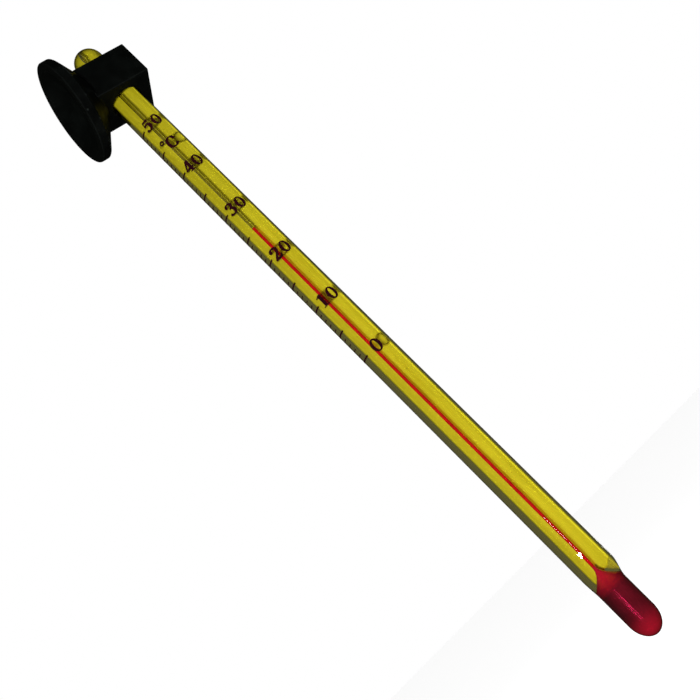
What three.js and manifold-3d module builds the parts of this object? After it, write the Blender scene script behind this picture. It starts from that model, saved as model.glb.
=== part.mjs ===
// Glass aquarium thermometer in a black rubber suction-cup holder.
// Millimetres. The origin is the centre of the suction cup's rim, in the plane of the wall it grips.
// +Z runs up the stem, with the bulb at the bottom, and +Y points into the wall.
import * as THREE from 'three';
import { mergeVertices } from 'three/addons/utils/BufferGeometryUtils.js';
import Module from 'manifold-3d';

const manifold = await Module();
manifold.setup();

// Holder: the block that grips the stem, and the cup on its back.
const BLOCK_WIDTH = 10.6;
const BLOCK_FRONT_Y = -16.05;
const BLOCK_BACK_Y = -4.5;
const BLOCK_HEIGHT = 8.4;
const BLOCK_BEVEL = 0.25;
const CUP_RADIUS = 10.45;
const CUP_LIP_HEIGHT = 1.9;
const CUP_LIP_ROUND = 0.3;
const CUP_FACE_INNER_RADIUS = 8.9;
const CUP_DISH_DEPTH = 3.3;
const CUP_NECK_RADIUS = 3.2;
const CUP_NECK_Y = -6.7;
const HOLE_CLEARANCE = 0.1;

// Glass: a solid stem with a fine bore, and a thin bulb fused to its lower end.
const STEM_AXIS_Y = -10.35;
const STEM_RADIUS = 3.1;
const STEM_TOP_Z = 11.3;
const STEM_BOTTOM_Z = -126.2;
const BULB_RADIUS = 2.6;
const BULB_WALL = 0.45;
const BULB_TIP_Z = -137.7;
const BULB_SHOULDER_Z = -128.5;
const BULB_END_RISE = 3.4;
const FUSED_GAP = 0.3;
const BORE_RADIUS = 0.3;
const BORE_TOP_Z = 7.8;
const CHAMBER_RADIUS = 0.45;
const CHAMBER_TOP_Z = 10.2;
const FUNNEL_TOP_Z = -124.8;

// Yellow enamel ribbon behind the bore, curved so that its edges come forward. It faces RIBBON_TURN
// away from the scale and lies RIBBON_SHIFT to the right of the bore.
const RIBBON_DEPTH = 1;
const RIBBON_HALF_WIDTH = 1.35;
const RIBBON_SAG = 0.35;
const RIBBON_THICKNESS = 0.25;
const RIBBON_TOP_Z = 10.3;
const RIBBON_TURN = THREE.MathUtils.degToRad(-23);
const RIBBON_SHIFT = 0.15;
const RIBBON_BOTTOM_Z = -125.2;
const RIBBON_SLOT_GAP = 0.1;

// Spirit: the reservoir, the thread in the bore, and the thread's top length with its curved surface.
const SPIRIT_RADIUS = 0.21;
const SPIRIT_GAP = 0.1;
const SPIRIT_SPLIT = 0.3;
const COLUMN_TOP_LENGTH = 20;
const MENISCUS_DIMPLE = 0.12;

// Scale: 0 to 50 degrees Celsius, printed on the face that points to SCALE_AZIMUTH.
const SCALE_AZIMUTH = THREE.MathUtils.degToRad(166);
const ZERO_MARK_Z = -75.5;
const DEGREE_SPACING = 1.24;
const READING = 26.2;
const SCALE_TOP = 50;
const TICK_STEP = 5;
const TICK_HEIGHT = 0.32;
const TICK_RIGHT_ANGLE = THREE.MathUtils.degToRad(-44);
const TICK_LEFT_ANGLE = THREE.MathUtils.degToRad(-89);
const INK_GAP = 0.02;
const INK_THICKNESS = 0.04;
const GLYPH_ANGLE = THREE.MathUtils.degToRad(20);
const GLYPH_LIFT = 0.1;
const UNIT_SIGN_DEGREES = 45.1;
const DEGREE_RING_ANGLE = THREE.MathUtils.degToRad(-29);
const DEGREE_RING_RAISE = 1.3;
const CELSIUS_ANGLE = THREE.MathUtils.degToRad(1);

// Fineness of the round shapes.
const ROUND_SEGMENTS = 48;
const CUP_SEGMENTS = 64;
const BORE_SEGMENTS = 16;
const ARC_STEPS = 6;
const CUT_OVERRUN = 1;

const materials = {
  rubber: new THREE.MeshStandardMaterial({ color: 0x0b0c0b, roughness: 0.6, metalness: 0 }),
  glass: new THREE.MeshStandardMaterial({ color: 0xd9e2d6, roughness: 0.05, metalness: 0 }),
  enamel: new THREE.MeshStandardMaterial({ color: 0xd2c21e, roughness: 0.4, metalness: 0 }),
  spirit: new THREE.MeshStandardMaterial({ color: 0xb01218, roughness: 0.2, metalness: 0 }),
  ink: new THREE.MeshStandardMaterial({ color: 0x22060f, roughness: 0.5, metalness: 0 }),
};

// Solids to join or cut: a closed mesh with its shared vertices merged and its slivers dropped.
function toSolid(geometry) {
  const bare = geometry.clone();
  bare.deleteAttribute('normal');
  bare.deleteAttribute('uv');
  const merged = mergeVertices(bare, 1e-5);
  const corners = merged.index.array;
  const kept = [];
  for (let i = 0; i < corners.length; i += 3) {
    const [a, b, c] = [corners[i], corners[i + 1], corners[i + 2]];
    if (a !== b && b !== c && c !== a) {
      kept.push(a, b, c);
    }
  }
  const mesh = new manifold.Mesh({
    numProp: 3,
    vertProperties: new Float32Array(merged.attributes.position.array),
    triVerts: new Uint32Array(kept),
  });
  return new manifold.Manifold(mesh);
}

function toGeometry(solid) {
  const mesh = solid.getMesh();
  const geometry = new THREE.BufferGeometry();
  geometry.setAttribute('position', new THREE.BufferAttribute(mesh.vertProperties, 3));
  geometry.setIndex(new THREE.BufferAttribute(mesh.triVerts, 1));
  geometry.computeVertexNormals();
  return geometry;
}

// A solid of revolution about Z from [radius, z] points listed from the bottom to the top.
function turnedAboutZ(profile, segments = ROUND_SEGMENTS) {
  const points = profile.map(([radius, z]) => new THREE.Vector2(radius, z));
  return new THREE.LatheGeometry(points, segments).rotateX(Math.PI / 2);
}

// Points of a quarter ellipse from the rim of a round end to its tip on the axis.
function roundedEnd(radius, rimZ, tipZ) {
  const points = [];
  for (let i = 0; i <= ARC_STEPS; i += 1) {
    const angle = (i / ARC_STEPS) * (Math.PI / 2);
    const onAxis = i === ARC_STEPS;
    points.push([onAxis ? 0 : radius * Math.cos(angle), rimZ + (tipZ - rimZ) * Math.sin(angle)]);
  }
  return points;
}

function named(name, geometry, material) {
  const mesh = new THREE.Mesh(geometry, material);
  mesh.name = name;
  return mesh;
}

// ---- Holder ----

// The cup's outline about Y: conical back, upright lip, flat gripping face and hollow dish.
function cupGeometry() {
  const profile = [new THREE.Vector2(0, CUP_NECK_Y), new THREE.Vector2(CUP_NECK_RADIUS, CUP_NECK_Y)];
  profile.push(new THREE.Vector2(CUP_RADIUS - CUP_LIP_ROUND, -CUP_LIP_HEIGHT - CUP_LIP_ROUND / 2));
  profile.push(new THREE.Vector2(CUP_RADIUS, -CUP_LIP_HEIGHT + CUP_LIP_ROUND / 2));
  profile.push(new THREE.Vector2(CUP_RADIUS, -CUP_LIP_ROUND));
  profile.push(new THREE.Vector2(CUP_RADIUS - CUP_LIP_ROUND, 0));
  for (let i = 0; i < ARC_STEPS; i += 1) {
    const angle = (i / ARC_STEPS) * (Math.PI / 2);
    const radius = CUP_FACE_INNER_RADIUS * Math.cos(angle);
    profile.push(new THREE.Vector2(radius, -CUP_DISH_DEPTH * Math.sin(angle) ** 2));
  }
  profile.push(new THREE.Vector2(0, -CUP_DISH_DEPTH));
  return new THREE.LatheGeometry(profile, CUP_SEGMENTS);
}

// The block, bevelled on the long edges and the ends, with its top and bottom faces square to Z.
function blockGeometry() {
  const halfWidth = BLOCK_WIDTH / 2 - BLOCK_BEVEL;
  const front = BLOCK_FRONT_Y + BLOCK_BEVEL;
  const outline = new THREE.Shape();
  outline.moveTo(-halfWidth, front);
  outline.lineTo(halfWidth, front);
  outline.lineTo(halfWidth, BLOCK_BACK_Y);
  outline.lineTo(-halfWidth, BLOCK_BACK_Y);
  const depth = BLOCK_HEIGHT - 2 * BLOCK_BEVEL;
  const block = new THREE.ExtrudeGeometry(outline, {
    depth,
    bevelEnabled: true,
    bevelThickness: BLOCK_BEVEL,
    bevelSize: BLOCK_BEVEL,
    bevelSegments: 2,
  });
  return block.translate(0, 0, -depth / 2);
}

// The hole is measured across its flats, so that the clearance holds all the way round.
function stemHoleGeometry() {
  const radius = (STEM_RADIUS + HOLE_CLEARANCE) / Math.cos(Math.PI / ROUND_SEGMENTS);
  const length = BLOCK_HEIGHT + 2 * CUT_OVERRUN;
  const hole = new THREE.CylinderGeometry(radius, radius, length, ROUND_SEGMENTS);
  return hole.rotateX(Math.PI / 2).translate(0, STEM_AXIS_Y, 0);
}

function holderMesh() {
  const joined = toSolid(blockGeometry()).add(toSolid(cupGeometry()));
  const solid = joined.subtract(toSolid(stemHoleGeometry()));
  return named('suction_cup_holder', toGeometry(solid), materials.rubber);
}

// ---- Glass, in the stem's own frame: +X out of the scale's face, +Y to the reader's right ----

// Points up the funnel, where the bulb's cavity narrows smoothly into the bore.
function funnel(shrink, bottomZ) {
  const points = [];
  for (let i = 0; i <= ARC_STEPS; i += 1) {
    const z = THREE.MathUtils.lerp(bottomZ, FUNNEL_TOP_Z, i / ARC_STEPS);
    const narrowed = THREE.MathUtils.smoothstep(z, BULB_SHOULDER_Z, FUNNEL_TOP_Z);
    points.push([THREE.MathUtils.lerp(BULB_RADIUS - BULB_WALL, BORE_RADIUS, narrowed) - shrink, z]);
  }
  return points;
}

// The passage through the stem: the funnel's upper part and the bore.
function borePassage() {
  const flare = funnel(0, STEM_BOTTOM_Z - CUT_OVERRUN);
  return [[0, STEM_BOTTOM_Z - CUT_OVERRUN], ...flare, [BORE_RADIUS, BORE_TOP_Z], [0, BORE_TOP_Z]];
}

function expansionChamber() {
  const middle = (BORE_TOP_Z + CHAMBER_TOP_Z) / 2;
  const rounded = roundedEnd(CHAMBER_RADIUS, middle, CHAMBER_TOP_Z);
  return [[0, BORE_TOP_Z - CUT_OVERRUN], [BORE_RADIUS, BORE_TOP_Z - CUT_OVERRUN], ...rounded];
}

// Cross-section of the ribbon, or of its slot when a gap is given, bowed about a centre in front of it.
function ribbonShape(gap) {
  const bowRadius = (RIBBON_HALF_WIDTH ** 2 + RIBBON_SAG ** 2) / (2 * RIBBON_SAG);
  const halfAngle = Math.asin((RIBBON_HALF_WIDTH + gap) / bowRadius);
  const centreX = bowRadius - RIBBON_DEPTH;
  const shape = new THREE.Shape();
  const inner = bowRadius - gap;
  const outer = bowRadius + RIBBON_THICKNESS + gap;
  shape.absarc(centreX, 0, outer, Math.PI - halfAngle, Math.PI + halfAngle, false);
  shape.absarc(centreX, 0, inner, Math.PI + halfAngle, Math.PI - halfAngle, true);
  return shape;
}

function ribbonGeometry(gap, bottomZ, topZ) {
  const settings = { depth: topZ - bottomZ, bevelEnabled: false, curveSegments: ARC_STEPS };
  const ribbon = new THREE.ExtrudeGeometry(ribbonShape(gap), settings);
  return ribbon.translate(0, RIBBON_SHIFT, bottomZ).rotateZ(RIBBON_TURN);
}

function stemMesh() {
  const shoulderZ = STEM_TOP_Z - STEM_RADIUS;
  const outside = [[0, STEM_BOTTOM_Z], [STEM_RADIUS, STEM_BOTTOM_Z]];
  outside.push(...roundedEnd(STEM_RADIUS, shoulderZ, STEM_TOP_Z));
  const slotBottom = STEM_BOTTOM_Z - CUT_OVERRUN;
  const slot = ribbonGeometry(RIBBON_SLOT_GAP, slotBottom, RIBBON_TOP_Z + RIBBON_SLOT_GAP);
  const solid = toSolid(turnedAboutZ(outside))
    .subtract(toSolid(turnedAboutZ(borePassage(), BORE_SEGMENTS)))
    .subtract(toSolid(turnedAboutZ(expansionChamber(), BORE_SEGMENTS)))
    .subtract(toSolid(slot));
  return named('stem_glass', toGeometry(solid), materials.glass);
}

// The bulb's rounded end, from its tip on the axis out to its straight side, moved in by the given inset.
function bulbEnd(inset) {
  return roundedEnd(BULB_RADIUS - inset, BULB_TIP_Z + BULB_END_RISE, BULB_TIP_Z + inset).reverse();
}

// The wall is thin round the bulb and thickens through the shoulder, where the cavity narrows.
function bulbGlassMesh() {
  const topZ = STEM_BOTTOM_Z - FUSED_GAP;
  const outside = [...bulbEnd(0), [BULB_RADIUS, BULB_SHOULDER_Z], [STEM_RADIUS, topZ]];
  const neck = funnel(0, BULB_SHOULDER_Z).filter(([, z]) => z < topZ);
  const inside = [...bulbEnd(BULB_WALL), ...neck];
  const neckRadius = inside[inside.length - 1][0];
  const profile = [...outside, [neckRadius, topZ], ...inside.reverse()];
  return named('bulb_glass', turnedAboutZ(profile), materials.glass);
}

// The spirit in the bulb rises through the funnel until the fine bore begins.
function bulbSpiritMesh() {
  const body = bulbEnd(BULB_WALL + SPIRIT_GAP);
  const profile = [...body, ...funnel(SPIRIT_GAP, BULB_SHOULDER_Z), [0, FUNNEL_TOP_Z]];
  return named('bulb_spirit', turnedAboutZ(profile, BORE_SEGMENTS * 2), materials.spirit);
}

function readingZ(degrees) {
  return ZERO_MARK_Z + degrees * DEGREE_SPACING;
}

function spiritColumnMesh() {
  const bottomZ = FUNNEL_TOP_Z + SPIRIT_SPLIT;
  const topZ = readingZ(READING) - COLUMN_TOP_LENGTH - SPIRIT_SPLIT;
  const profile = [[0, bottomZ], [SPIRIT_RADIUS, bottomZ], [SPIRIT_RADIUS, topZ], [0, topZ]];
  return named('spirit_column', turnedAboutZ(profile, BORE_SEGMENTS), materials.spirit);
}

function spiritColumnTopMesh() {
  const topZ = readingZ(READING);
  const bottomZ = topZ - COLUMN_TOP_LENGTH;
  const profile = [[0, bottomZ], [SPIRIT_RADIUS, bottomZ], [SPIRIT_RADIUS, topZ]];
  profile.push([SPIRIT_RADIUS / 2, topZ - MENISCUS_DIMPLE], [0, topZ - MENISCUS_DIMPLE]);
  return named('spirit_column_top', turnedAboutZ(profile, BORE_SEGMENTS), materials.spirit);
}

function enamelMesh() {
  const geometry = ribbonGeometry(0, RIBBON_BOTTOM_Z, RIBBON_TOP_Z);
  return named('enamel_backing', geometry, materials.enamel);
}

// ---- Printed scale ----

const INK_INNER = STEM_RADIUS + INK_GAP;
const INK_OUTER = INK_INNER + INK_THICKNESS;

// A five-degree tick: a thin arc round the left side of the stem.
function tickMesh(degrees) {
  const arc = new THREE.Shape();
  arc.absarc(0, 0, INK_OUTER, TICK_LEFT_ANGLE, TICK_RIGHT_ANGLE, false);
  arc.absarc(0, 0, INK_INNER, TICK_RIGHT_ANGLE, TICK_LEFT_ANGLE, true);
  const settings = { depth: TICK_HEIGHT, bevelEnabled: false, curveSegments: ARC_STEPS * 2 };
  const geometry = new THREE.ExtrudeGeometry(arc, settings);
  geometry.translate(0, 0, readingZ(degrees) - TICK_HEIGHT / 2);
  const label = String(degrees).padStart(2, '0');
  return named(`tick_${label}`, geometry, materials.ink);
}

// A pen stroke along a curve: broad where it runs upright and fine where it runs level.
function penStroke(points, fine = 0.26, broad = 0.6, steps = 14) {
  const curve = new THREE.SplineCurve(points.map(([x, y]) => new THREE.Vector2(x, y)));
  const left = [];
  const right = [];
  for (let i = 0; i <= steps; i += 1) {
    const point = curve.getPoint(i / steps);
    const heading = curve.getTangent(i / steps);
    const half = (fine + (broad - fine) * Math.abs(heading.y)) / 2;
    left.push(new THREE.Vector2(point.x - heading.y * half, point.y + heading.x * half));
    right.unshift(new THREE.Vector2(point.x + heading.y * half, point.y - heading.x * half));
  }
  return new THREE.Shape([...left, ...right]);
}

function polygon(points) {
  return new THREE.Shape(points.map(([x, y]) => new THREE.Vector2(x, y)));
}

function dot(x, y, radius) {
  const shape = new THREE.Shape();
  shape.absarc(x, y, radius, 0, 2 * Math.PI, false);
  return shape;
}

function ovalRing(outerX, outerY, innerX, innerY) {
  const shape = new THREE.Shape();
  shape.absellipse(0, 0, outerX, outerY, 0, 2 * Math.PI, false);
  const hole = new THREE.Path();
  hole.absellipse(0, 0, innerX, innerY, 0, 2 * Math.PI, true);
  shape.holes.push(hole);
  return shape;
}

// Bold figures with fine serifs, centred on their own origin, 2.6 mm tall.
const glyphs = {
  zero: [ovalRing(0.95, 1.32, 0.36, 1.04)],
  one: [
    polygon([[-0.3, -1.3], [0.3, -1.3], [0.3, 1.3], [-0.1, 1.3], [-0.7, 0.98], [-0.7, 0.76], [-0.3, 0.86]]),
    polygon([[-0.64, -1.3], [0.64, -1.3], [0.64, -1.1], [-0.64, -1.1]]),
  ],
  two: [
    penStroke([[-0.7, 0.62], [-0.5, 1.1], [0.05, 1.18], [0.56, 0.8], [0.4, 0.1], [-0.2, -0.6], [-0.7, -1.15]]),
    polygon([[-0.85, -1.3], [0.72, -1.3], [0.88, -0.6], [0.74, -0.6], [0.5, -0.9], [-0.6, -0.9]]),
    dot(-0.56, 0.66, 0.24),
  ],
  three: [
    penStroke([[-0.66, 0.75], [-0.4, 1.12], [0.05, 1.2], [0.45, 0.8], [0.28, 0.3], [-0.2, 0.08]]),
    penStroke([[-0.2, 0.12], [0.35, 0], [0.6, -0.5], [0.35, -1.05], [-0.15, -1.2], [-0.7, -0.9]]),
    dot(-0.55, 0.74, 0.23),
    dot(-0.58, -0.88, 0.24),
  ],
  four: [
    polygon([[0, 1.3], [0.3, 1.3], [0.3, 0.9], [-0.5, -0.36], [-0.92, -0.36]]),
    polygon([[-0.92, -0.7], [0.88, -0.7], [0.88, -0.34], [-0.92, -0.34]]),
    polygon([[0, -1.3], [0.6, -1.3], [0.6, 1.3], [0, 1.3]]),
    polygon([[-0.24, -1.3], [0.86, -1.3], [0.86, -1.1], [-0.24, -1.1]]),
  ],
  five: [
    polygon([[-0.58, 0.86], [0.62, 0.86], [0.78, 1.3], [-0.48, 1.3]]),
    polygon([[-0.58, 1.2], [-0.7, 0.02], [-0.52, 0.02], [-0.4, 1.2]]),
    penStroke([[-0.62, 0.1], [-0.1, 0.38], [0.45, 0.12], [0.56, -0.5], [0.25, -1.05], [-0.2, -1.2], [-0.7, -0.9]]),
    dot(-0.58, -0.88, 0.24),
  ],
  celsius: [
    penStroke([
      [0.82, 0.5], [0.5, 1.08], [0, 1.2], [-0.55, 0.9], [-0.75, 0],
      [-0.55, -0.9], [0, -1.2], [0.5, -1.1], [0.85, -0.6],
    ], 0.26, 0.6, 22),
    polygon([[0.74, 0.38], [0.88, 0.38], [0.88, 1.24], [0.74, 1.24], [0.5, 1.0]]),
  ],
  degree: [ovalRing(0.52, 0.52, 0.22, 0.22)],
};

// The thin sleeve of ink round the stem that every glyph is cut from.
function inkSleeve(centreZ, halfHeight) {
  const bottom = centreZ - halfHeight;
  const top = centreZ + halfHeight;
  const section = [[INK_INNER, bottom], [INK_OUTER, bottom], [INK_OUTER, top], [INK_INNER, top], [INK_INNER, bottom]];
  return toSolid(turnedAboutZ(section));
}

// A glyph printed on the stem at an angle from the scale's centre line, positive to the right.
function glyphMesh(name, shapes, angle, centreZ) {
  const facing = new THREE.Matrix4().makeBasis(
    new THREE.Vector3(0, 1, 0),
    new THREE.Vector3(0, 0, 1),
    new THREE.Vector3(1, 0, 0),
  );
  const settings = { depth: STEM_RADIUS, bevelEnabled: false, curveSegments: ARC_STEPS * 2 };
  let solid = null;
  for (const shape of shapes) {
    const prism = new THREE.ExtrudeGeometry(shape, settings);
    prism.translate(0, 0, STEM_RADIUS / 2).applyMatrix4(facing).rotateZ(angle).translate(0, 0, centreZ);
    const piece = toSolid(prism);
    solid = solid ? solid.add(piece) : piece;
  }
  const halfHeight = STEM_RADIUS / 2;
  return named(name, toGeometry(solid.intersect(inkSleeve(centreZ, halfHeight))), materials.ink);
}

function scaleMeshes() {
  const meshes = [];
  for (let degrees = 0; degrees <= SCALE_TOP; degrees += TICK_STEP) {
    meshes.push(tickMesh(degrees));
  }
  const tens = [[10, 'one'], [20, 'two'], [30, 'three'], [40, 'four'], [50, 'five']];
  for (const [degrees, digit] of tens) {
    const z = readingZ(degrees) + GLYPH_LIFT;
    meshes.push(glyphMesh(`figure_${degrees}_${digit}`, glyphs[digit], -GLYPH_ANGLE, z));
    meshes.push(glyphMesh(`figure_${degrees}_zero`, glyphs.zero, GLYPH_ANGLE, z));
  }
  meshes.push(glyphMesh('figure_0_zero', glyphs.zero, 0, readingZ(0) + GLYPH_LIFT));
  const signZ = readingZ(UNIT_SIGN_DEGREES);
  meshes.push(glyphMesh('degree_ring', glyphs.degree, DEGREE_RING_ANGLE, signZ + DEGREE_RING_RAISE));
  meshes.push(glyphMesh('celsius_letter', glyphs.celsius, CELSIUS_ANGLE, signZ));
  return meshes;
}

// ---- Assembly ----

const stemFrame = new THREE.Group();
stemFrame.position.set(0, STEM_AXIS_Y, 0);
stemFrame.rotation.z = SCALE_AZIMUTH;
stemFrame.add(stemMesh(), bulbGlassMesh(), enamelMesh());
stemFrame.add(bulbSpiritMesh(), spiritColumnMesh(), spiritColumnTopMesh());
stemFrame.add(...scaleMeshes());

const thermometer = new THREE.Group();
thermometer.add(holderMesh(), stemFrame);

export default thermometer;
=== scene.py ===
"""Looks for the glass aquarium thermometer: rubber holder, clear glass, yellow enamel, red spirit, ink.

Lengths are metres in the row frame. The stem's own frame has +X out of the scale's face, +Y to the
reader's right and +Z up the stem.
"""
import math

import bmesh
import bpy
from mathutils import Matrix, Vector, noise


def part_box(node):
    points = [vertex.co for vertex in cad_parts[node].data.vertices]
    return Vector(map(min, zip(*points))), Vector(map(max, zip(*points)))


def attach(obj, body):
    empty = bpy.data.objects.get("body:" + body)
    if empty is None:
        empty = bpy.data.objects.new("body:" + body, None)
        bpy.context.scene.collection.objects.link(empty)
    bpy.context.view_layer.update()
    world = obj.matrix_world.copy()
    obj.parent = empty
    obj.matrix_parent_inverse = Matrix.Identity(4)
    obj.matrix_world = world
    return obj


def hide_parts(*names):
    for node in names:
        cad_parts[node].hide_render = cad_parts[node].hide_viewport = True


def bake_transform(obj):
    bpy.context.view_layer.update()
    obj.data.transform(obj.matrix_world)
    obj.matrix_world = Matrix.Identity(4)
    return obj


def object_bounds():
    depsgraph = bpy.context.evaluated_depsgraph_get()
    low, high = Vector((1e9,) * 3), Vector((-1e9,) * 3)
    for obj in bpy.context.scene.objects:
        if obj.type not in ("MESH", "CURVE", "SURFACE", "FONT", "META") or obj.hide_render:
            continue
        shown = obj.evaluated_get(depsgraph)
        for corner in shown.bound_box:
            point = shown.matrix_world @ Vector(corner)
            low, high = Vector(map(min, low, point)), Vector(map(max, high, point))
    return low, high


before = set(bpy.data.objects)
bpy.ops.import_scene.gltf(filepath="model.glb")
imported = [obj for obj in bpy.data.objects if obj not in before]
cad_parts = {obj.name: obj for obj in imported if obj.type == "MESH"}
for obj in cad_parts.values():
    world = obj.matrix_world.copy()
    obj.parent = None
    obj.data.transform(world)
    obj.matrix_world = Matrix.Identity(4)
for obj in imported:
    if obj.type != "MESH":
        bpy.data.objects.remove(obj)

CAD_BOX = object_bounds()
MM = 0.001

# ---- Places and sizes from the frame ----

HOLDER_LOW, HOLDER_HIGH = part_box("suction_cup_holder")
STEM_LOW, STEM_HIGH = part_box("stem_glass")
BULB_LOW, BULB_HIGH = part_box("bulb_glass")
RIBBON_LOW, RIBBON_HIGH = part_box("enamel_backing")
THREAD_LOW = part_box("spirit_column")[0]
THREAD_TOP_LOW, THREAD_TOP_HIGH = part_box("spirit_column_top")
ZERO_TICK_LOW, ZERO_TICK_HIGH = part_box("tick_00")
FIFTY_TICK_LOW, FIFTY_TICK_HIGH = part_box("tick_50")

AXIS = (STEM_LOW + STEM_HIGH) / 2
AXIS.z = 0
SCALE_AZIMUTH = math.radians(166)
STEM_FRAME = Matrix.Translation(AXIS) @ Matrix.Rotation(SCALE_AZIMUTH, 4, "Z")


def reach(node):
    """The node's greatest distance from the stem's axis."""
    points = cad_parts[node].data.vertices
    return max(math.hypot(p.co.x - AXIS.x, p.co.y - AXIS.y) for p in points)


# Glass.
STEM_RADIUS = reach("stem_glass")
SHOULDER_TOP_Z = STEM_LOW.z + 1.0 * MM
SHOULDER_BOTTOM_Z = STEM_LOW.z - 2.6 * MM
BULB_RADIUS = 2.6 * MM
BULB_LEAN = 0.3 * MM
BORE_SHIFT = 0.1 * MM
BORE_BEND_Z = STEM_LOW.z + 6 * MM
BULB_END_RISE = 3.4 * MM
BULB_WALL = 0.45 * MM
BULB_WALL_THINNING = 0.26 * MM
BORE_RADIUS = 0.18 * MM
FUNNEL_TOP_Z = STEM_LOW.z + 1.4 * MM
CHAMBER_RADIUS = 0.26 * MM
CHAMBER_BOTTOM_Z = 7.8 * MM
CHAMBER_TOP_Z = 10.2 * MM
OVERLAP = 0.01 * MM
MENISCUS_DIMPLE = 0.12 * MM
# How far above the holder the painted edge shade on the glass takes to reach full strength.
PAINTED_EDGE_SHADE_FADE = 1.5 * MM

# Enamel ribbon.
RIBBON_DEPTH = 1.0 * MM
RIBBON_HALF_WIDTH = 1.35 * MM
RIBBON_SAG = 0.35 * MM
RIBBON_TURN = math.radians(-23)
RIBBON_SHIFT = 0.15 * MM
RIBBON_THICKNESS = 0.25 * MM
RIBBON_END_DROP = 0.7 * MM
RIBBON_END_SLANT = 0.9 * MM
RIBBON_THIN_END = 2.1 * MM
RIBBON_ABOVE_CAD = 0.4 * MM
RIBBON_TOP_ROUND = 0.5 * MM
RIBBON_END_WAVE = 0.12 * MM
RIBBON_END_FADE = 0.15 * MM
RIBBON_EDGE_BULGE = 1.015
RIBBON_EDGE_WANDER = 0.012
RIBBON_WANDER_LENGTH = 9 * MM

# Scale.
DEGREES_ON_SCALE = 50
LABELLED_STEP = 5
SHORT_TICK_HEIGHT = 0.2 * MM
INK_BACK_GAP = 0.02 * MM
INK_FACE_GAP = 0.05 * MM
INK_INNER = STEM_RADIUS + INK_BACK_GAP
INK_OUTER = STEM_RADIUS + INK_FACE_GAP
TICK_LEFT_ANGLE = math.radians(-89)
SHORT_TICK_RIGHT_ANGLE = math.radians(-62)

# Holder.
CUP_RADIUS = HOLDER_HIGH.x
RIM_Y = HOLDER_HIGH.y
BLOCK_HALF_WIDTH = 5.3 * MM
BLOCK_HALF_HEIGHT = 4.2 * MM
BLOCK_FRONT_Y = HOLDER_LOW.y
BLOCK_BACK_Y = -4.5 * MM
BLOCK_EDGE = 0.2 * MM
LIP_HEIGHT = 1.9 * MM
LIP_ROUND = 0.3 * MM
FACE_INNER_RADIUS = 8.9 * MM
DISH_DEPTH = 3.3 * MM
NECK_RADIUS = 3.2 * MM
NECK_Y = -6.7 * MM
HOLE_CLEARANCE = 0.1 * MM
HOLE_RADIUS = STEM_RADIUS + HOLE_CLEARANCE
HOLE_FLARE = 0.25 * MM
CUTTER_OVERRUN = 1 * MM
HOLDER_VOXEL = 0.12 * MM

# Fineness of the round shapes.
STEM_SEGMENTS = 192
BORE_SEGMENTS = 24
CUP_SEGMENTS = 128
ARC_STEPS = 16
BORE_STEPS = 60
RIBBON_ACROSS_STEPS = 24
RIBBON_ALONG_STEPS = 160


# ---- Mesh helpers ----


def mesh_object(name, points, faces):
    mesh = bpy.data.meshes.new(name)
    mesh.from_pydata([tuple(p) for p in points], [], faces)
    mesh.polygons.foreach_set("use_smooth", [True] * len(mesh.polygons))
    mesh.update()
    obj = bpy.data.objects.new(name, mesh)
    bpy.context.scene.collection.objects.link(obj)
    return obj


def lathe(profile, segments, first=0):
    """Points and faces of the surface that (radius, z) points, listed upwards, make round Z."""
    points, rings = [], []
    for radius, z in profile:
        count = segments if radius > 0 else 1
        rings.append([first + len(points) + i for i in range(count)])
        for i in range(count):
            turn = 2 * math.pi * i / segments
            points.append((radius * math.cos(turn), radius * math.sin(turn), z))
    faces = []
    for low, high in zip(rings, rings[1:]):
        for i in range(segments):
            j = (i + 1) % segments
            corners = [low[i % len(low)], low[j % len(low)], high[j % len(high)], high[i % len(high)]]
            faces.append(tuple(dict.fromkeys(corners)))
    return points, faces


def flipped(faces):
    return [tuple(reversed(face)) for face in faces]


def smoothstep(value):
    t = min(1, max(0, value))
    return t * t * (3 - 2 * t)


def mix(a, b, share):
    return a + (b - a) * share


def steps(start, stop, count):
    return [mix(start, stop, i / count) for i in range(count + 1)]


def apply_modifiers(obj):
    graph = bpy.context.evaluated_depsgraph_get()
    made = bpy.data.meshes.new_from_object(obj.evaluated_get(graph))
    obj.modifiers.clear()
    obj.data = made


# ---- Glass ----


def bulb_end(radius, tip_z):
    """The bulb's rounded end, from its tip on the axis out to its straight side."""
    rim_z = BULB_LOW.z + BULB_END_RISE
    points = [(0, tip_z)]
    for turn in steps(0, math.pi / 2, ARC_STEPS)[1:]:
        points.append((radius * math.sin(turn), mix(rim_z, tip_z, math.cos(turn))))
    return points


def outer_profile():
    """The outside of the glass, from the bulb's tip to the stem's domed top."""
    profile = bulb_end(BULB_RADIUS, BULB_LOW.z)
    for z in steps(SHOULDER_BOTTOM_Z, SHOULDER_TOP_Z, ARC_STEPS):
        along = (z - SHOULDER_BOTTOM_Z) / (SHOULDER_TOP_Z - SHOULDER_BOTTOM_Z)
        profile.append((mix(BULB_RADIUS, STEM_RADIUS, smoothstep(along)), z))
    dome_z = STEM_HIGH.z - STEM_RADIUS
    for turn in steps(0, math.pi / 2, ARC_STEPS)[:-1]:
        profile.append((STEM_RADIUS * math.cos(turn), dome_z + STEM_RADIUS * math.sin(turn)))
    profile.append((0, STEM_HIGH.z))
    return profile


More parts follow.
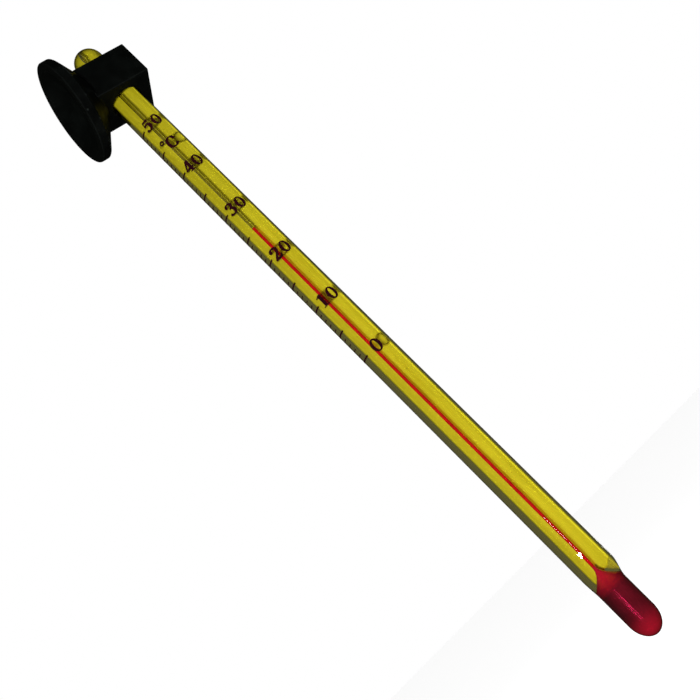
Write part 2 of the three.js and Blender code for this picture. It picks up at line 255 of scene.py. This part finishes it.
def cavity_below_bore(outset=0):
    """The bulb's cavity and the funnel above it; the wall is thinnest near the rounded end."""
    wide = BULB_RADIUS - BULB_WALL + BULB_WALL_THINNING
    narrow = BULB_RADIUS - BULB_WALL
    profile = [(r + outset if r else 0, z) for r, z in bulb_end(wide, BULB_LOW.z + BULB_WALL - outset)]
    for z in steps(SHOULDER_BOTTOM_Z, FUNNEL_TOP_Z, 2 * ARC_STEPS):
        along = (z - SHOULDER_BOTTOM_Z) / (FUNNEL_TOP_Z - SHOULDER_BOTTOM_Z)
        profile.append((mix(narrow, BORE_RADIUS, smoothstep(along)) + outset, z))
    return profile


def bore_and_chamber():
    """The fine bore above the funnel, ending in the small chamber that takes an overheated spirit."""
    profile = []
    middle_z = (CHAMBER_BOTTOM_Z + CHAMBER_TOP_Z) / 2
    for z in steps(CHAMBER_BOTTOM_Z, middle_z, ARC_STEPS):
        along = (z - CHAMBER_BOTTOM_Z) / (middle_z - CHAMBER_BOTTOM_Z)
        profile.append((mix(BORE_RADIUS, CHAMBER_RADIUS, smoothstep(along)), z))
    for turn in steps(0, math.pi / 2, ARC_STEPS)[1:-1]:
        height = (CHAMBER_TOP_Z - middle_z) * math.sin(turn)
        profile.append((CHAMBER_RADIUS * math.cos(turn), middle_z + height))
    profile.append((0, CHAMBER_TOP_Z))
    return profile


def outside_leaning(points):
    """The bulb was fused on a little to the reader's left of the stem's axis."""
    drop = SHOULDER_TOP_Z - SHOULDER_BOTTOM_Z
    return [(x, y - BULB_LEAN * smoothstep((SHOULDER_TOP_Z - z) / drop), z) for x, y, z in points]


def inside_leaning(points):
    """The bore runs a little to the reader's left, straight wherever the spirit's top can go.

    It bends to the bulb's axis only near the funnel.
    """
    drop = BORE_BEND_Z - SHOULDER_BOTTOM_Z
    moved = []
    for x, y, z in points:
        share = min(1, max(0, (BORE_BEND_Z - z) / drop))
        moved.append((x, y - mix(BORE_SHIFT, BULB_LEAN, share**2), z))
    return moved


def glass_body():
    outside, outside_faces = lathe(outer_profile(), STEM_SEGMENTS)
    bore = [(BORE_RADIUS, z) for z in steps(FUNNEL_TOP_Z, CHAMBER_BOTTOM_Z, BORE_STEPS)[1:-1]]
    cavity_profile = cavity_below_bore() + bore + bore_and_chamber()
    cavity, cavity_faces = lathe(cavity_profile, BORE_SEGMENTS * 2, len(outside))
    points = outside_leaning(outside) + inside_leaning(cavity)
    obj = mesh_object("glass_body", points, outside_faces + flipped(cavity_faces))
    obj.data.materials.append(clear_glass())
    obj.data.materials.append(bore_wall())
    for face in obj.data.polygons[len(outside_faces):]:
        face.material_index = 1
    return obj


# ---- Enamel and spirit ----


def ribbon_end_z(across, low):
    """The ribbon's end slants down to the reader's left, and trails off thinly on the right."""
    uneven = RIBBON_END_WAVE * math.sin(9 * across + 1)
    thin = RIBBON_THIN_END * smoothstep(across)
    return low - RIBBON_END_DROP + RIBBON_END_SLANT * across + uneven - thin


def enamel_ribbon():
    """A thin bowed strip, closed all round, with edges that wander slightly along its length."""
    bow_radius = (RIBBON_HALF_WIDTH**2 + RIBBON_SAG**2) / (2 * RIBBON_SAG)
    half_angle = math.asin(RIBBON_HALF_WIDTH / bow_radius)
    centre_x = bow_radius - RIBBON_DEPTH
    loop = [(a, 0.0) for a in steps(-1, 1, RIBBON_ACROSS_STEPS)]
    loop += [(RIBBON_EDGE_BULGE, 0.5)]
    loop += [(a, 1.0) for a in steps(1, -1, RIBBON_ACROSS_STEPS)]
    loop += [(-RIBBON_EDGE_BULGE, 0.5)]
    points = []
    for k in range(RIBBON_ALONG_STEPS + 1):
        for across, depth in loop:
            low = ribbon_end_z(across, RIBBON_LOW.z)
            top = RIBBON_HIGH.z + RIBBON_ABOVE_CAD - RIBBON_TOP_ROUND * across**2
            z = mix(low, top, k / RIBBON_ALONG_STEPS)
            place = Vector((math.copysign(5, across), 0, z / RIBBON_WANDER_LENGTH))
            wander = 1 + RIBBON_EDGE_WANDER * noise.noise(place)
            angle = math.pi + across * half_angle * wander
            radius = bow_radius + depth * RIBBON_THICKNESS
            points.append((centre_x + radius * math.cos(angle), RIBBON_SHIFT - radius * math.sin(angle), z))
    turn = Matrix.Rotation(RIBBON_TURN, 4, "Z")
    points = [turn @ Vector(point) for point in points]
    size = len(loop)
    faces = []
    for k in range(RIBBON_ALONG_STEPS):
        for i in range(size):
            j = (i + 1) % size
            faces.append((k * size + j, k * size + i, (k + 1) * size + i, (k + 1) * size + j))
    faces += strip_cap(0, size) + flipped(strip_cap(RIBBON_ALONG_STEPS * size, size))
    return mesh_object("enamel_ribbon", points, faces)


def strip_cap(first, size):
    """Closes one end of the ribbon with a row of faces between its front and its back."""
    faces = []
    low, high = first, first + size - 2
    faces.append((first + size - 1, low, high))
    while high - low > 2:
        faces.append((low, low + 1, high - 1, high))
        low, high = low + 1, high - 1
    faces.append((low, low + 1, high))
    return faces


def spirit_in_bulb():
    profile = cavity_below_bore(OVERLAP)
    profile.append((BORE_RADIUS + OVERLAP, THREAD_LOW.z + OVERLAP))
    profile.append((0, THREAD_LOW.z + OVERLAP))
    points, faces = lathe(profile, STEM_SEGMENTS)
    return mesh_object("spirit_in_bulb", inside_leaning(points), faces)


def spirit_thread():
    """The lower thread has rings along its length, so that it can stretch as the spirit rises."""
    radius = BORE_RADIUS + OVERLAP
    rings = steps(THREAD_LOW.z, THREAD_TOP_LOW.z, BORE_STEPS)
    profile = [(0, rings[0])] + [(radius, z) for z in rings] + [(0, rings[-1])]
    points, faces = lathe(profile, BORE_SEGMENTS)
    return mesh_object("spirit_thread", inside_leaning(points), faces)


def spirit_thread_top():
    """The top of the thread, with the hollow surface that clings to the glass round its edge."""
    radius = BORE_RADIUS + OVERLAP
    low, edge = THREAD_TOP_LOW.z - OVERLAP, THREAD_TOP_HIGH.z - MENISCUS_DIMPLE
    profile = [(0, low)] + [(radius, z) for z in steps(low, edge, ARC_STEPS)]
    for turn in steps(0, math.pi / 2, ARC_STEPS)[:-1]:
        height = MENISCUS_DIMPLE * (1 - math.sin(turn))
        profile.append((radius * math.cos(turn), edge + height))
    profile.append((0, edge))
    points, faces = lathe(profile, BORE_SEGMENTS)
    return mesh_object("spirit_thread_top", inside_leaning(points), faces)


# ---- Printed scale ----


def tick_arc(z, first):
    """Points and faces of one thin arc of ink round the left side of the stem."""
    points = []
    for angle in steps(TICK_LEFT_ANGLE, SHORT_TICK_RIGHT_ANGLE, ARC_STEPS):
        for radius, height in ((INK_INNER, -0.5), (INK_OUTER, -0.5), (INK_OUTER, 0.5), (INK_INNER, 0.5)):
            level = z + height * SHORT_TICK_HEIGHT
            points.append((radius * math.cos(angle), radius * math.sin(angle), level))
    faces = [(first, first + 1, first + 2, first + 3)]
    for k in range(ARC_STEPS):
        for i in range(4):
            j = (i + 1) % 4
            low, high = first + 4 * k, first + 4 * k + 4
            faces.append((low + i, high + i, high + j, low + j))
    last = first + 4 * ARC_STEPS
    faces.append((last + 3, last + 2, last + 1, last))
    return points, faces


def degree_ticks():
    """The short ticks at each degree between the labelled ones."""
    zero_z = (ZERO_TICK_LOW.z + ZERO_TICK_HIGH.z) / 2
    fifty_z = (FIFTY_TICK_LOW.z + FIFTY_TICK_HIGH.z) / 2
    points, faces = [], []
    for degree in range(DEGREES_ON_SCALE + 1):
        if degree % LABELLED_STEP:
            z = mix(zero_z, fifty_z, degree / DEGREES_ON_SCALE)
            more_points, more_faces = tick_arc(z, len(points))
            points += more_points
            faces += more_faces
    obj = mesh_object("degree_ticks", points, faces)
    obj.data.polygons.foreach_set("use_smooth", [False] * len(obj.data.polygons))
    return obj


# ---- Holder ----


def cup_outline():
    """The cup's (radius, depth) outline, from its neck out round the lip and in over the hollow face."""
    outline = [(0, NECK_Y), (NECK_RADIUS, NECK_Y), (CUP_RADIUS - LIP_ROUND, -LIP_HEIGHT - LIP_ROUND / 2)]
    outline += [(CUP_RADIUS, -LIP_HEIGHT + LIP_ROUND / 2)]
    for turn in steps(0, math.pi / 2, 4):
        outline.append((CUP_RADIUS - LIP_ROUND * (1 - math.cos(turn)), -LIP_ROUND * (1 - math.sin(turn))))
    for turn in steps(0, math.pi / 2, ARC_STEPS)[:-1]:
        outline.append((FACE_INNER_RADIUS * math.cos(turn), -DISH_DEPTH * math.sin(turn) ** 2))
    outline.append((0, -DISH_DEPTH))
    return [(radius, RIM_Y + y) for radius, y in outline]


def cup_shape():
    obj = mesh_object("cup_shape", *lathe(cup_outline(), CUP_SEGMENTS))
    obj.data.transform(Matrix.Rotation(-math.pi / 2, 4, "X"))
    return obj


def block_shape():
    low = Vector((-BLOCK_HALF_WIDTH, BLOCK_FRONT_Y, -BLOCK_HALF_HEIGHT))
    high = Vector((BLOCK_HALF_WIDTH, BLOCK_BACK_Y, BLOCK_HALF_HEIGHT))
    shape = bmesh.new()
    bmesh.ops.create_cube(shape, size=1)
    bmesh.ops.scale(shape, vec=high - low, verts=shape.verts)
    bmesh.ops.translate(shape, vec=(low + high) / 2, verts=shape.verts)
    bmesh.ops.bevel(shape, geom=shape.edges, offset=BLOCK_EDGE, segments=4, profile=0.5, affect="EDGES")
    mesh = bpy.data.meshes.new("block_shape")
    shape.to_mesh(mesh)
    shape.free()
    obj = bpy.data.objects.new("block_shape", mesh)
    bpy.context.scene.collection.objects.link(obj)
    return obj


def hole_shape():
    """A cutter for the hole that grips the stem, flared a little where it meets the block's faces."""
    past, flare = CUTTER_OVERRUN, HOLE_FLARE
    half = BLOCK_HALF_HEIGHT
    profile = [(0, -half - past), (HOLE_RADIUS + flare + past, -half - past), (HOLE_RADIUS + flare, -half)]
    profile += [(HOLE_RADIUS, -half + flare), (HOLE_RADIUS, half - flare)]
    profile += [(HOLE_RADIUS + flare, half), (HOLE_RADIUS + flare + past, half + past), (0, half + past)]
    obj = mesh_object("hole_shape", *lathe(profile, STEM_SEGMENTS))
    obj.data.transform(Matrix.Translation(AXIS))
    return obj


def combine(obj, other, operation):
    step = obj.modifiers.new(operation, "BOOLEAN")
    step.operation = operation
    step.solver = "EXACT"
    step.object = other
    apply_modifiers(obj)
    bpy.data.objects.remove(other)


def holder_moulding():
    """One rubber moulding: the pieces are joined, cut, and remeshed so that every edge is softly rounded."""
    obj = block_shape()
    obj.name = "holder_moulding"
    combine(obj, cup_shape(), "UNION")
    combine(obj, hole_shape(), "DIFFERENCE")
    remesh = obj.modifiers.new("remesh", "REMESH")
    remesh.mode = "VOXEL"
    remesh.voxel_size = HOLDER_VOXEL
    soften = obj.modifiers.new("soften", "SMOOTH")
    soften.factor = 0.5
    soften.iterations = 3
    apply_modifiers(obj)
    obj.data.polygons.foreach_set("use_smooth", [True] * len(obj.data.polygons))
    return obj


# ---- Materials ----

READER_RIGHT = SCALE_AZIMUTH + math.pi / 2
RIBBON_RIGHT = READER_RIGHT + RIBBON_TURN


class Nodes:
    """A material's node tree, with short calls to add and link nodes."""

    def __init__(self, name):
        self.material = bpy.data.materials.new(name)
        self.material.use_nodes = True
        self.tree = self.material.node_tree
        self.tree.nodes.clear()
        self.output = self.add("ShaderNodeOutputMaterial")
        self.place = self.add("ShaderNodeTexCoord").outputs["Object"]

    def add(self, kind, **sockets):
        node = self.tree.nodes.new(kind)
        for name, value in sockets.items():
            node.inputs[name.replace("_", " ")].default_value = value
        return node

    def link(self, source, target):
        self.tree.links.new(source, target)

    def surface(self, shader):
        self.link(shader, self.output.inputs["Surface"])

    def noise(self, size, stretch=(1, 1, 1), detail=3, roughness=0.5):
        """Noise whose features are about the given size, stretched by the given factors."""
        mapping = self.add("ShaderNodeMapping")
        mapping.inputs["Scale"].default_value = [1 / (size * s) for s in stretch]
        self.link(self.place, mapping.inputs["Vector"])
        texture = self.add("ShaderNodeTexNoise", Scale=1.0, Detail=detail, Roughness=roughness)
        self.link(mapping.outputs["Vector"], texture.inputs["Vector"])
        return texture.outputs["Fac"]

    def along(self, direction, start, stop):
        """Position along a level or upright direction, from 0 at the start to 1 at the stop."""
        dot = self.tree.nodes.new("ShaderNodeVectorMath")
        dot.operation = "DOT_PRODUCT"
        self.link(self.place, dot.inputs[0])
        dot.inputs[1].default_value = direction
        spread = self.add("ShaderNodeMapRange")
        spread.inputs["From Min"].default_value = start
        spread.inputs["From Max"].default_value = stop
        self.link(dot.outputs["Value"], spread.inputs["Value"])
        return spread.outputs["Result"]

    def ramp(self, value, *stops):
        """A colour ramp with (position, colour or grey level) stops."""
        ramp = self.add("ShaderNodeValToRGB")
        elements = ramp.color_ramp.elements
        while len(elements) < len(stops):
            elements.new(0.5)
        for element, (position, colour) in zip(elements, stops):
            level = (colour,) * 3 if isinstance(colour, (int, float)) else colour
            element.position = position
            element.color = (*level, 1)
        self.link(value, ramp.inputs["Fac"])
        return ramp.outputs["Color"]

    def mixed(self, share, first, second, blend="MIX"):
        node = self.tree.nodes.new("ShaderNodeMix")
        node.data_type = "RGBA"
        node.blend_type = blend
        colours = [socket for socket in node.inputs if socket.type == "RGBA"]
        for socket, value in ((node.inputs[0], share), (colours[0], first), (colours[1], second)):
            if isinstance(value, bpy.types.NodeSocket):
                self.link(value, socket)
            else:
                socket.default_value = value if isinstance(value, (int, float)) else (*value, 1)
        return next(socket for socket in node.outputs if socket.type == "RGBA")

    def bump(self, height, strength, distance):
        node = self.add("ShaderNodeBump", Strength=strength, Distance=distance)
        self.link(height, node.inputs["Height"])
        return node.outputs["Normal"]

    def principled(self, **sockets):
        return self.add("ShaderNodeBsdfPrincipled", **sockets)

    def blended(self, share, first, second):
        both = self.add("ShaderNodeMixShader")
        self.link(share, both.inputs["Fac"])
        self.link(first, both.inputs[1])
        self.link(second, both.inputs[2])
        return both.outputs["Shader"]

    def lit_through(self, shader, tint):
        """The shader, but with lamps shining straight through it, unbent, in the given tint."""
        light_path = self.add("ShaderNodeLightPath")
        clear = self.add("ShaderNodeBsdfTransparent")
        if isinstance(tint, bpy.types.NodeSocket):
            self.link(tint, clear.inputs["Color"])
        else:
            clear.inputs["Color"].default_value = (*tint, 1)
        return self.blended(light_path.outputs["Is Shadow Ray"], shader, clear.outputs["BSDF"])


def drawn_glass(made, tint):
    """Drawn glass with faint lengthwise waves, whose tint carries painted shade where it is seen edge on,
    most of all in the dome.
    """
    glass = made.principled(IOR=1.5, Transmission_Weight=1.0)
    smears = made.noise(2.5 * MM, (1, 1, 4))
    made.link(made.ramp(smears, (0.55, 0.0), (0.8, 0.03)), glass.inputs["Roughness"])
    tone = made.noise(6 * MM, (1, 1, 3))
    colour = made.ramp(tone, (0.3, (0.95, 0.98, 0.94)), (0.7, (0.97, 0.99, 0.96)))
    colour = made.mixed(1.0, colour, tint, "MULTIPLY")
    # Painted shade: the tint darkens where the glass is seen edge on, more strongly above the holder, for
    # the dark surroundings that the rod's edges bend into view.
    turned_away = made.add("ShaderNodeLayerWeight", Blend=0.5).outputs["Facing"]
    outline = made.ramp(turned_away, (0.6, 1.0), (0.85, 0.12))
    above_holder = made.along((0, 0, 1), BLOCK_HALF_HEIGHT, BLOCK_HALF_HEIGHT + PAINTED_EDGE_SHADE_FADE)
    outline = made.mixed(above_holder, outline, made.ramp(turned_away, (0.35, 1.0), (0.6, 0.06)))
    made.link(made.mixed(1.0, colour, outline, "MULTIPLY"), glass.inputs["Base Color"])
    waves = made.noise(1.2 * MM, (1, 1, 40), detail=1)
    made.link(made.bump(waves, 0.02, 0.01 * MM), glass.inputs["Normal"])
    return glass.outputs["BSDF"]


def clear_glass():
    made = Nodes("clear_glass")
    made.surface(made.lit_through(drawn_glass(made, (1, 1, 1)), (1, 1, 1)))
    return made.material


def bore_wall():
    """The wall of the bore, which turns light aside most where the bore is empty."""
    made = Nodes("bore_wall")
    height = made.along((0, 0, 1), THREAD_TOP_HIGH.z - 1 * MM, THREAD_TOP_HIGH.z)
    shade = made.ramp(height, (0.0, 0.74), (1.0, 0.4))
    # The bore's glass is tinted darker: painted shade for the dark look of the air-filled bore.
    made.surface(made.lit_through(drawn_glass(made, (0.5, 0.45, 0.25)), shade))
    return made.material


def yellow_enamel():
    """Opaque yellow enamel, drawn out lengthwise, with darker specks, and painted light: darker to the left
    and at the top, with a painted highlight along the right edge.
    """
    made = Nodes("yellow_enamel")
    enamel = made.principled(Roughness=0.45, IOR=1.2)
    streaks = made.noise(0.5 * MM, (1, 1, 30))
    colour = made.ramp(streaks, (0.3, (0.69, 0.59, 0.015)), (0.7, (0.81, 0.71, 0.024)))
    clouds = made.ramp(made.noise(4 * MM, (1, 1, 3)), (0.35, 0.92), (0.65, 1.0))
    colour = made.mixed(1.0, colour, clouds, "MULTIPLY")
    specks = made.ramp(made.noise(0.35 * MM, (1, 1, 1.6), detail=1), (0.74, 1.0), (0.82, 0.6))
    colour = made.mixed(1.0, colour, specks, "MULTIPLY")
    right = Vector((math.cos(RIBBON_RIGHT), math.sin(RIBBON_RIGHT), 0))
    middle = AXIS.dot(right) + RIBBON_SHIFT
    across = made.along(right, middle - RIBBON_HALF_WIDTH, middle + RIBBON_HALF_WIDTH)
    # Painted light: the enamel is darker to the reader's left and brighter to the right, with a painted
    # highlight along its right edge.
    painted_side_light = made.ramp(across, (0.05, 0.83), (0.45, 0.93), (0.6, 0.98), (0.93, 1.0), (0.97, 1.45))
    colour = made.mixed(1.0, colour, painted_side_light, "MULTIPLY")
    # Painted light: the enamel darkens towards the top, where less lamp light reaches it.
    height = made.along((0, 0, 1), STEM_LOW.z, STEM_HIGH.z)
    colour = made.mixed(1.0, colour, made.ramp(height, (0.0, 1.0), (1.0, 0.9)), "MULTIPLY")
    made.link(colour, enamel.inputs["Base Color"])
    made.link(made.bump(streaks, 0.1, 0.02 * MM), enamel.inputs["Normal"])
    slope = RIBBON_END_SLANT / RIBBON_HALF_WIDTH
    end = RIBBON_LOW.z - RIBBON_END_DROP - slope * middle
    past_end = made.along(Vector((0, 0, 1)) - slope * right, end, end - RIBBON_END_FADE)
    clear = made.add("ShaderNodeBsdfTransparent").outputs["BSDF"]
    made.surface(made.blended(made.ramp(past_end, (0.0, 0.0), (1.0, 0.62)), enamel.outputs["BSDF"], clear))
    return made.material


def spirit_in_thread():
    """Dyed spirit in the fine bore, bright because so little of it colours the light."""
    made = Nodes("red_spirit_thin")
    spirit = made.principled(Roughness=0.08, IOR=1.5)
    spirit.inputs["Specular Tint"].default_value = (1.0, 0.02, 0.1, 1)
    colour = made.ramp(made.noise(1.5 * MM), (0.3, (0.55, 0.006, 0.008)), (0.75, (0.75, 0.01, 0.01)))
    made.link(colour, spirit.inputs["Base Color"])
    made.surface(made.lit_through(spirit.outputs["BSDF"], (0.98, 0.78, 0.3)))
    return made.material


def spirit_in_reservoir():
    """Dyed spirit in the bulb, dark red, with painted light: darker to the left, lighter to the right,
    bright in the funnel and at the tip.
    """
    made = Nodes("red_spirit_deep")
    spirit = made.principled(Roughness=0.13, IOR=1.9)
    spirit.inputs["Specular Tint"].default_value = (1.0, 0.03, 0.14, 1)
    # Painted light: the spirit darkens to the reader's left and lightens to the right.
    sideways = Vector((math.cos(READER_RIGHT), math.sin(READER_RIGHT), 0))
    centre = AXIS.dot(sideways) - BULB_LEAN
    across = made.along(sideways, centre - BULB_RADIUS, centre + BULB_RADIUS)
    left, middle, right = (0.062, 0.005, 0.010), (0.165, 0.006, 0.017), (0.19, 0.009, 0.022)
    body = made.ramp(across, (0.1, left), (0.36, middle), (0.9, right))
    cloud = made.ramp(made.noise(1.5 * MM), (0.3, 0.8), (0.75, 1.15))
    body = made.mixed(1.0, body, cloud, "MULTIPLY")
    # Painted light: the spirit is painted bright at the tip and in the funnel, where light would shine
    # through a thin layer.
    height = made.along((0, 0, 1), BULB_LOW.z, FUNNEL_TOP_Z)
    tip = ((0.0, 1.0), (0.12, 0.7), (0.3, 0.1), (0.4, 0.0))
    funnel = ((0.68, 0.0), (0.78, 0.45), (0.88, 0.9))
    thin = made.ramp(height, *tip, *funnel)
    made.link(made.mixed(thin, body, (0.6, 0.010, 0.035)), spirit.inputs["Base Color"])
    made.surface(made.lit_through(spirit.outputs["BSDF"], (0.3, 0.01, 0.02)))
    return made.material


def scale_ink():
    """Fired ink, a very dark wine red, slightly uneven in cover."""
    made = Nodes("scale_ink")
    ink = made.principled(Roughness=0.6)
    ink.inputs["Specular IOR Level"].default_value = 0.05
    cover = made.noise(0.25 * MM, detail=4)
    colour = made.ramp(cover, (0.35, (0.010, 0.0003, 0.0015)), (0.75, (0.022, 0.0007, 0.004)))
    made.link(colour, ink.inputs["Base Color"])
    made.link(made.bump(cover, 0.3, 0.01 * MM), ink.inputs["Normal"])
    made.surface(ink.outputs["BSDF"])
    return made.material


def black_rubber():
    """Matt black rubber with a fine moulded grain; its raised edges are lighter, partly a dry whitish film
    and partly a painted sheen.
    """
    made = Nodes("black_rubber")
    rubber = made.principled(IOR=1.5)
    rubber.inputs["Specular IOR Level"].default_value = 0.07
    grain = made.noise(0.12 * MM, detail=5, roughness=0.65)
    blotches = made.noise(3 * MM, detail=4)
    edge_pointiness = made.add("ShaderNodeNewGeometry").outputs["Pointiness"]
    body = made.ramp(blotches, (0.35, (0.0009, 0.0012, 0.0010)), (0.7, (0.0020, 0.0027, 0.0023)))
    # Raised edges are lighter: partly a dry whitish film, partly a painted sheen.
    bloom_and_sheen = made.ramp(edge_pointiness, (0.515, 0.0), (0.6, 0.55))
    made.link(made.mixed(bloom_and_sheen, body, (0.016, 0.02, 0.018)), rubber.inputs["Base Color"])
    made.link(made.ramp(blotches, (0.3, 0.42), (0.7, 0.6)), rubber.inputs["Roughness"])
    made.link(made.bump(grain, 0.35, 0.03 * MM), rubber.inputs["Normal"])
    made.surface(rubber.outputs["BSDF"])
    return made.material


def paint(obj, material):
    obj.data.materials.clear()
    obj.data.materials.append(material)


# ---- Room, light and camera ----

CAMERA_AZIMUTH = math.radians(248.13)
CAMERA_ELEVATION = math.radians(-16.59)
CAMERA_ROLL = math.radians(44.79)
CAMERA_STEM_AZIMUTH = math.radians(156.8)
CAMERA_STEM_DISTANCE = 142.7 * MM
CAMERA_ABOVE_BULB = 23.3 * MM
CAMERA_LENS_MM = 44.33

LAMP_DISTANCE = 350 * MM
KEY_AZIMUTH = math.radians(145)
KEY_POWER = 0.86
KEY_WIDTH = 45 * MM
KEY_HEIGHT = 28 * MM
FILL_DISTANCE = 500 * MM
FILL_RAISE = 150 * MM
FILL_SIZE = 300 * MM

FLOOR_DROP = 60 * MM
FLOOR_SIZE = 8.0


def add_camera():
    """A camera beside the lower part of the stem, looking up along it and rolled clockwise."""
    azimuth, elevation = CAMERA_AZIMUTH, CAMERA_ELEVATION
    flat = math.cos(elevation)
    back = Vector((math.sin(azimuth) * flat, -math.cos(azimuth) * flat, math.sin(elevation)))
    level_right = Vector((0, 0, 1)).cross(back).normalized()
    level_up = back.cross(level_right)
    up = level_up * math.cos(CAMERA_ROLL) + level_right * math.sin(CAMERA_ROLL)
    right = up.cross(back)
    place = round_stem(CAMERA_STEM_AZIMUTH, CAMERA_STEM_DISTANCE, BULB_LOW.z + CAMERA_ABOVE_BULB)
    data = bpy.data.cameras.new("camera")
    data.lens = CAMERA_LENS_MM
    data.clip_start = 5 * MM
    camera = bpy.data.objects.new("camera", data)
    bpy.context.scene.collection.objects.link(camera)
    turned = Matrix((right, up, back)).transposed().to_4x4()
    camera.matrix_world = Matrix.Translation(place) @ turned
    bpy.context.scene.camera = camera


def add_lamp(name, place, target, width, height, power, colour=(1, 1, 1), seen=True):
    """A soft rectangular lamp. One that isn't seen shows in no reflection and through no glass."""
    data = bpy.data.lights.new(name, "AREA")
    data.shape = "RECTANGLE"
    data.size = width
    data.size_y = height
    data.energy = power
    data.color = colour
    lamp = bpy.data.objects.new(name, data)
    bpy.context.scene.collection.objects.link(lamp)
    lamp.rotation_mode = "QUATERNION"
    lamp.location = place
    lamp.rotation_quaternion = (Vector(target) - Vector(place)).to_track_quat("-Z", "Y")
    lamp.visible_camera = False
    lamp.visible_glossy = seen
    lamp.visible_transmission = seen
    return lamp


def round_stem(azimuth, distance, z):
    return Vector((AXIS.x + distance * math.cos(azimuth), AXIS.y + distance * math.sin(azimuth), z))


def add_lamps():
    """A key lamp just left of the scale, small lamps that glint in the glass, and soft side fills."""
    middle = round_stem(0, 0, (STEM_LOW.z + STEM_HIGH.z) / 2)
    key_place = round_stem(KEY_AZIMUTH, LAMP_DISTANCE, BULB_LOW.z)
    add_lamp("key", key_place, middle, KEY_WIDTH, KEY_HEIGHT, KEY_POWER, seen=False)
    glints = [
        # name, azimuth, height above the bulb's tip (mm), width (mm), height (mm), power
        ("glint_stem", 142, -9.5, 130, 3.5, 0.055),
        ("glint_thread", 150, 5.5, 20, 26, 0.018),
    ]
    for name, degrees, height, width, tall, power in glints:
        place = round_stem(math.radians(degrees), LAMP_DISTANCE, BULB_LOW.z + height * MM)
        bulb = round_stem(0, 0, BULB_HIGH.z)
        add_lamp(name, place, bulb, width * MM, tall * MM, power)
    for name, degrees, power in (("fill_right", 268, 0.3), ("fill_back", 328, 0.4), ("fill_left", 30, 0.4)):
        place = round_stem(math.radians(degrees), FILL_DISTANCE, middle.z + FILL_RAISE)
        add_lamp(name, place, middle, FILL_SIZE, FILL_SIZE, power, seen=False)


def add_floor():
    half = FLOOR_SIZE / 2
    z = CAD_BOX[0].z - FLOOR_DROP
    corners = [(-half, -half, z), (half, -half, z), (half, half, z), (-half, half, z)]
    floor = mesh_object("floor", corners, [(0, 1, 2, 3)])
    made = Nodes("pale_floor")
    pale = made.principled(Base_Color=(0.95, 0.95, 0.95, 1), Roughness=0.9, Emission_Strength=0.1)
    pale.inputs["Emission Color"].default_value = (1, 1, 1, 1)
    made.surface(pale.outputs["BSDF"])
    paint(floor, made.material)
    floor.visible_glossy = False
    floor.visible_transmission = False


def add_surroundings():
    """White behind the object and in soft light, dim olive seen through glass, darker in reflections.

    The colours differ by the kind of ray, so this is a studio effect and not a real room.
    """
    world = bpy.data.worlds.new("surroundings")
    bpy.context.scene.world = world
    world.use_nodes = True
    tree = world.node_tree
    tree.nodes.clear()
    output = tree.nodes.new("ShaderNodeOutputWorld")
    light_path = tree.nodes.new("ShaderNodeLightPath")
    either = tree.nodes.new("ShaderNodeMath")
    either.operation = "MAXIMUM"
    tree.links.new(light_path.outputs["Is Camera Ray"], either.inputs[0])
    tree.links.new(light_path.outputs["Is Diffuse Ray"], either.inputs[1])
    shown = background(tree, (0.02, 0.022, 0.018))
    through_glass = background(tree, (0.10, 0.09, 0.03))
    white = background(tree, (1, 1, 1))
    transmission = light_path.outputs["Is Transmission Ray"]
    for share, other in ((transmission, through_glass), (either.outputs["Value"], white)):
        both = tree.nodes.new("ShaderNodeMixShader")
        tree.links.new(share, both.inputs["Fac"])
        tree.links.new(shown, both.inputs[1])
        tree.links.new(other, both.inputs[2])
        shown = both.outputs["Shader"]
    tree.links.new(shown, output.inputs["Surface"])
    bpy.context.scene.view_settings.view_transform = "Standard"


def background(tree, colour):
    node = tree.nodes.new("ShaderNodeBackground")
    node.inputs["Color"].default_value = (*colour, 1)
    node.inputs["Strength"].default_value = 1.0
    return node.outputs["Background"]


# ---- The object ----


def settle(obj, body, slot, *nodes):
    """Places a piece made in the stem's frame, ties it to its body and hides the CAD nodes it stands in for.
    The slot is not used.
    """
    obj.data.transform(STEM_FRAME)
    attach(obj, body)
    if nodes:
        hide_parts(*nodes)


def build_thermometer():
    settle(glass_body(), "thermometer", "clear_glass", "stem_glass", "bulb_glass")

    ribbon = enamel_ribbon()
    paint(ribbon, yellow_enamel())
    settle(ribbon, "thermometer", "yellow_enamel", "enamel_backing")

    reservoir = spirit_in_bulb()
    paint(reservoir, spirit_in_reservoir())
    settle(reservoir, "thermometer", "red_spirit", "bulb_spirit")

    thin = spirit_in_thread()
    top = spirit_thread_top()
    paint(top, thin)
    settle(top, "spirit_top", "red_spirit", "spirit_column_top")

    thread = spirit_thread()
    paint(thread, thin)
    thread.data.transform(STEM_FRAME)
    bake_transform(thread)
    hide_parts("spirit_column")


def print_scale():
    ink = scale_ink()
    for name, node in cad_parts.items():
        if name.startswith(("tick_", "figure_", "degree_", "celsius_")):
            paint_slots(node, ink)
    ticks = degree_ticks()
    paint(ticks, ink)
    settle(ticks, "thermometer", "scale_ink")


def paint_slots(node, material):
    for slot in node.material_slots:
        slot.material = material


def build_holder():
    holder = holder_moulding()
    paint(holder, black_rubber())
    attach(holder, "holder")
    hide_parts("suction_cup_holder")


add_camera()
add_surroundings()
add_floor()
add_lamps()
build_holder()
build_thermometer()
print_scale()
